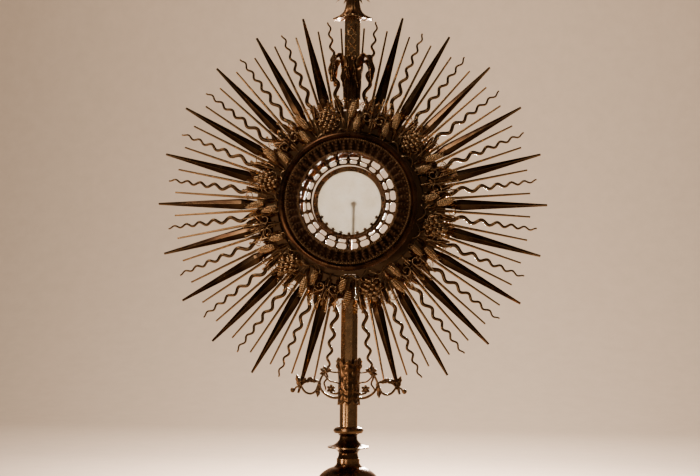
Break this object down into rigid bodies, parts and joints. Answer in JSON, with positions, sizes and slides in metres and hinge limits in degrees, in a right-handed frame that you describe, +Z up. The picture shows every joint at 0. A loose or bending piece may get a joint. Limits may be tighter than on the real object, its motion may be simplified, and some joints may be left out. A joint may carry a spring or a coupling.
{
  "type": "sunburst monstrance",
  "caption": "Free-standing brass sunburst monstrance: a round glazed case in a wreath of vine and wheat with straight and wavy rays, on a turned stem and round foot.",
  "frame": {"origin": "centre of the foot's underside", "axes": "+Z up, front facing -Y with the host visible, +X to the viewer's right"},
  "size_m": [0.424, 0.23, 0.7891],
  "materials": {
    "foot_brass": "antique gilt brass, spun and polished, darkened in the hollows",
    "stem_brass": "antique gilt brass, cast and chased, dark in the recesses",
    "ray_brass": "antique gilt brass sheet and bar, reddish brown patina",
    "wreath_brass": "cast and chased gilt brass with bright edges and dark hollows",
    "case_brass": "turned gilt brass, satin, copper brown",
    "lunette_gilt": "polished gilt brass",
    "clear_glass": "clear flat glass",
    "wafer": "thin unleavened bread wafer, matt off-white",
    "felt": "dark red felt",
    "steel": "plain steel, lightly oiled"
  },
  "bodies": {
    "stand": {"base_pad": "felt", "bezel": "case_brass", "bezel_leaf_band": "case_brass", "canopy": "stem_brass", "case_drum": "case_brass", "case_hinge_leaf": "case_brass", "column_palmette": "stem_brass", "cross": "stem_brass", "cross_glory": "stem_brass", "finial_knob": "stem_brass", "flange_screws": "steel", "foot_beaded_wire": "foot_brass", "foot_shell": "foot_brass", "front_glass": "clear_glass", "glass_retainer": "case_brass", "grape_clusters": "wreath_brass", "hinge_pin": "case_brass", "inner_beaded_wire": "case_brass", "knop": "foot_brass", "knop_girdle": "foot_brass", "latch_bracket": "case_brass", "lower_neck": "foot_brass", "lunette_rail": "lunette_gilt", "outer_beaded_wire": "case_brass", "pierced_gallery": "case_brass", "ray_plate": "ray_brass", "ray_rivets": "ray_brass", "rays_large": "ray_brass", "rays_thin": "ray_brass", "rays_wavy": "ray_brass", "scroll_left": "stem_brass", "scroll_right": "stem_brass", "stem_acanthus": "stem_brass", "stem_lower": "stem_brass", "stem_upper": "stem_brass", "tendrils": "wreath_brass", "tenon_screws": "steel", "tie_rod": "steel", "tie_rod_nut": "steel", "tie_rod_washer": "steel", "top_column": "stem_brass", "upper_spool": "foot_brass", "vine_leaves": "wreath_brass", "wheat_bracts": "wreath_brass", "wheat_ears": "wreath_brass", "wreath_ring": "wreath_brass"},
    "door": {"door_frame": "case_brass", "door_glass": "clear_glass", "door_knob": "case_brass", "door_hinge_leaf": "case_brass"},
    "latch": {"latch_lever": "case_brass", "latch_screw": "case_brass"},
    "lunette": {"lunette_ring": "lunette_gilt", "lunette_rear_ring": "lunette_gilt", "lunette_crescent": "lunette_gilt", "lunette_slider": "lunette_gilt", "lunette_handle": "lunette_gilt", "lunette_front_glass": "clear_glass", "lunette_rear_glass": "clear_glass", "host": "wafer"}
  },
  "joints": [
    {"name": "door_hinge", "type": "hinge", "parent": "stand", "child": "door", "pos_m": [-0.072, 0.026, 0.5], "axis": [0, 0, 1], "range_deg": [0, 115]},
    {"name": "latch_turn", "type": "hinge", "parent": "stand", "child": "latch", "pos_m": [0.073, 0.0284, 0.5], "axis": [0, 1, 0], "range_deg": [0, 90]},
    {"name": "lunette_slide", "type": "slide", "parent": "stand", "child": "lunette", "axis": [0, -1, 0], "range_m": [-0.028, 0]}
  ]
}
